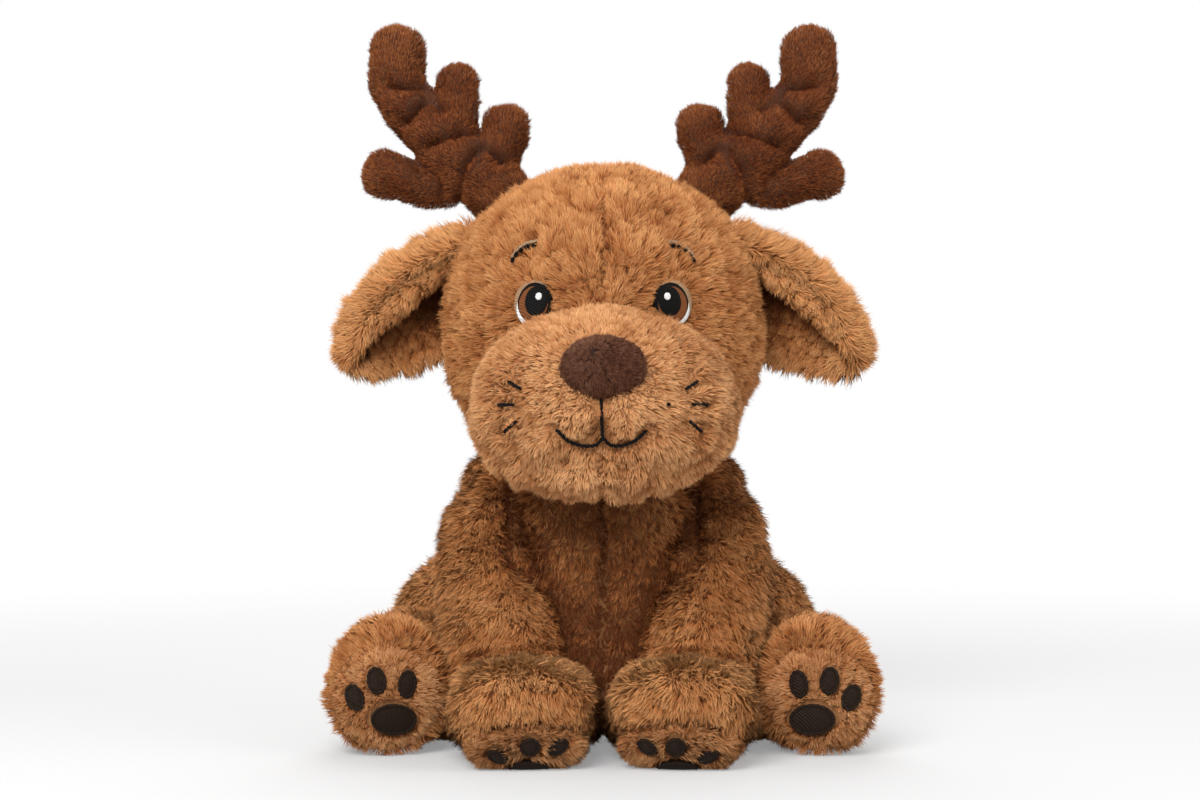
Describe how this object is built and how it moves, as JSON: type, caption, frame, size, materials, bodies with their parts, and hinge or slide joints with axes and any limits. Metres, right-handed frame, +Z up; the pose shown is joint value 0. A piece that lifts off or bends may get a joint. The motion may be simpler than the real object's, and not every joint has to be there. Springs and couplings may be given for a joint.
{
  "type": "plush deer",
  "caption": "Sitting plush deer with stuffed antlers, folded ears, a big soft muzzle and paw pads; head, ears, antlers, legs and tail move on their sewn seams.",
  "frame": {"origin": "middle of the underside of the seat, on the surface that the toy sits on", "axes": "+Z up, the face towards -Y, the toy's own left side towards +X"},
  "size_m": [0.2822, 0.2456, 0.3781],
  "materials": {
    "body_plush": "long, soft caramel-brown pile",
    "face_plush": "short, soft light-brown pile",
    "antler_plush": "fine short dark-brown pile",
    "nose_plush": "dense short dark-brown pile",
    "pad_stitch": "dark satin-stitch embroidery with a raised edge",
    "eye_stitch": "glossy satin-stitch embroidery in black, brown, beige and white",
    "filling": "white polyester wadding, closed in",
    "pellet_cloth": "plain woven bag of pellets, closed in"
  },
  "bodies": {
    "torso": {"torso_skin": "body_plush", "torso_filling": "filling", "pellet_bag": "pellet_cloth"},
    "neck": {"neck_filling": "filling"},
    "head": {"head_skin": "body_plush", "head_filling": "filling", "muzzle_skin": "face_plush", "muzzle_filling": "filling", "nose": "nose_plush", "eye_left_patch": "eye_stitch", "eye_right_patch": "eye_stitch"},
    "ear_left": {"ear_left_outer_panel": "body_plush", "ear_left_inner_panel": "body_plush"},
    "antler_left": {"antler_left_skin": "antler_plush", "antler_left_filling": "filling"},
    "ear_right": {"ear_right_outer_panel": "body_plush", "ear_right_inner_panel": "body_plush"},
    "antler_right": {"antler_right_skin": "antler_plush", "antler_right_filling": "filling"},
    "front_leg_left": {"front_leg_left_skin": "body_plush", "front_leg_left_filling": "filling", "front_paw_left_skin": "body_plush", "front_paw_left_filling": "filling", "front_paw_left_sole": "face_plush", "front_paw_left_toe_pad_1": "pad_stitch", "front_paw_left_toe_pad_2": "pad_stitch", "front_paw_left_toe_pad_3": "pad_stitch", "front_paw_left_main_pad": "pad_stitch"},
    "front_leg_right": {"front_leg_right_skin": "body_plush", "front_leg_right_filling": "filling", "front_paw_right_skin": "body_plush", "front_paw_right_filling": "filling", "front_paw_right_sole": "face_plush", "front_paw_right_toe_pad_1": "pad_stitch", "front_paw_right_toe_pad_2": "pad_stitch", "front_paw_right_toe_pad_3": "pad_stitch", "front_paw_right_main_pad": "pad_stitch"},
    "hind_leg_left": {"hind_leg_left_skin": "body_plush", "hind_leg_left_filling": "filling", "hind_foot_left_skin": "body_plush", "hind_foot_left_filling": "filling", "hind_foot_left_sole": "face_plush", "hind_foot_left_toe_pad_1": "pad_stitch", "hind_foot_left_toe_pad_2": "pad_stitch", "hind_foot_left_toe_pad_3": "pad_stitch", "hind_foot_left_main_pad": "pad_stitch"},
    "hind_leg_right": {"hind_leg_right_skin": "body_plush", "hind_leg_right_filling": "filling", "hind_foot_right_skin": "body_plush", "hind_foot_right_filling": "filling", "hind_foot_right_sole": "face_plush", "hind_foot_right_toe_pad_1": "pad_stitch", "hind_foot_right_toe_pad_2": "pad_stitch", "hind_foot_right_toe_pad_3": "pad_stitch", "hind_foot_right_main_pad": "pad_stitch"},
    "tail": {"tail": "body_plush"}
  },
  "joints": [
    {"name": "head_nod", "type": "hinge", "parent": "torso", "child": "neck", "pos_m": [0, 0.008, 0.13], "axis": [1, 0, 0], "range_deg": [-8, 8], "stiffness_Nm_per_rad": 2},
    {"name": "head_turn", "type": "hinge", "parent": "neck", "child": "head", "pos_m": [0, 0.008, 0.13], "axis": [0, 0, 1], "range_deg": [-25, 25], "stiffness_Nm_per_rad": 1},
    {"name": "ear_left_lift", "type": "hinge", "parent": "head", "child": "ear_left", "pos_m": [0.07, 0, 0.27], "axis": [0, -1, 0], "range_deg": [0, 30], "stiffness_Nm_per_rad": 0.05},
    {"name": "antler_left_bend", "type": "hinge", "parent": "head", "child": "antler_left", "pos_m": [0.05438, 0, 0.28876], "axis": [0.8526, 0, -0.5225], "range_deg": [-20, 20], "stiffness_Nm_per_rad": 0.3},
    {"name": "ear_right_lift", "type": "hinge", "parent": "head", "child": "ear_right", "pos_m": [-0.07, 0, 0.27], "axis": [0, 1, 0], "range_deg": [0, 30], "stiffness_Nm_per_rad": 0.05},
    {"name": "antler_right_bend", "type": "hinge", "parent": "head", "child": "antler_right", "pos_m": [-0.05438, 0, 0.28876], "axis": [0.8526, 0, 0.5225], "range_deg": [-20, 20], "stiffness_Nm_per_rad": 0.3},
    {"name": "front_leg_left_swing", "type": "hinge", "parent": "torso", "child": "front_leg_left", "pos_m": [0.05, 0.002, 0.134], "axis": [-1, 0, 0], "range_deg": [0, 25], "stiffness_Nm_per_rad": 0.5},
    {"name": "front_leg_right_swing", "type": "hinge", "parent": "torso", "child": "front_leg_right", "pos_m": [-0.05, 0.002, 0.134], "axis": [-1, 0, 0], "range_deg": [0, 25], "stiffness_Nm_per_rad": 0.5},
    {"name": "hind_leg_left_splay", "type": "hinge", "parent": "torso", "child": "hind_leg_left", "pos_m": [0.077, 0.026, 0.045], "axis": [0, 0, 1], "range_deg": [0, 30], "stiffness_Nm_per_rad": 0.5},
    {"name": "hind_leg_right_splay", "type": "hinge", "parent": "torso", "child": "hind_leg_right", "pos_m": [-0.077, 0.026, 0.045], "axis": [0, 0, -1], "range_deg": [0, 30], "stiffness_Nm_per_rad": 0.5},
    {"name": "tail_wag", "type": "hinge", "parent": "torso", "child": "tail", "pos_m": [0, 0.0807, 0.048], "axis": [0, 0, 1], "range_deg": [-25, 25], "stiffness_Nm_per_rad": 0.05}
  ]
}
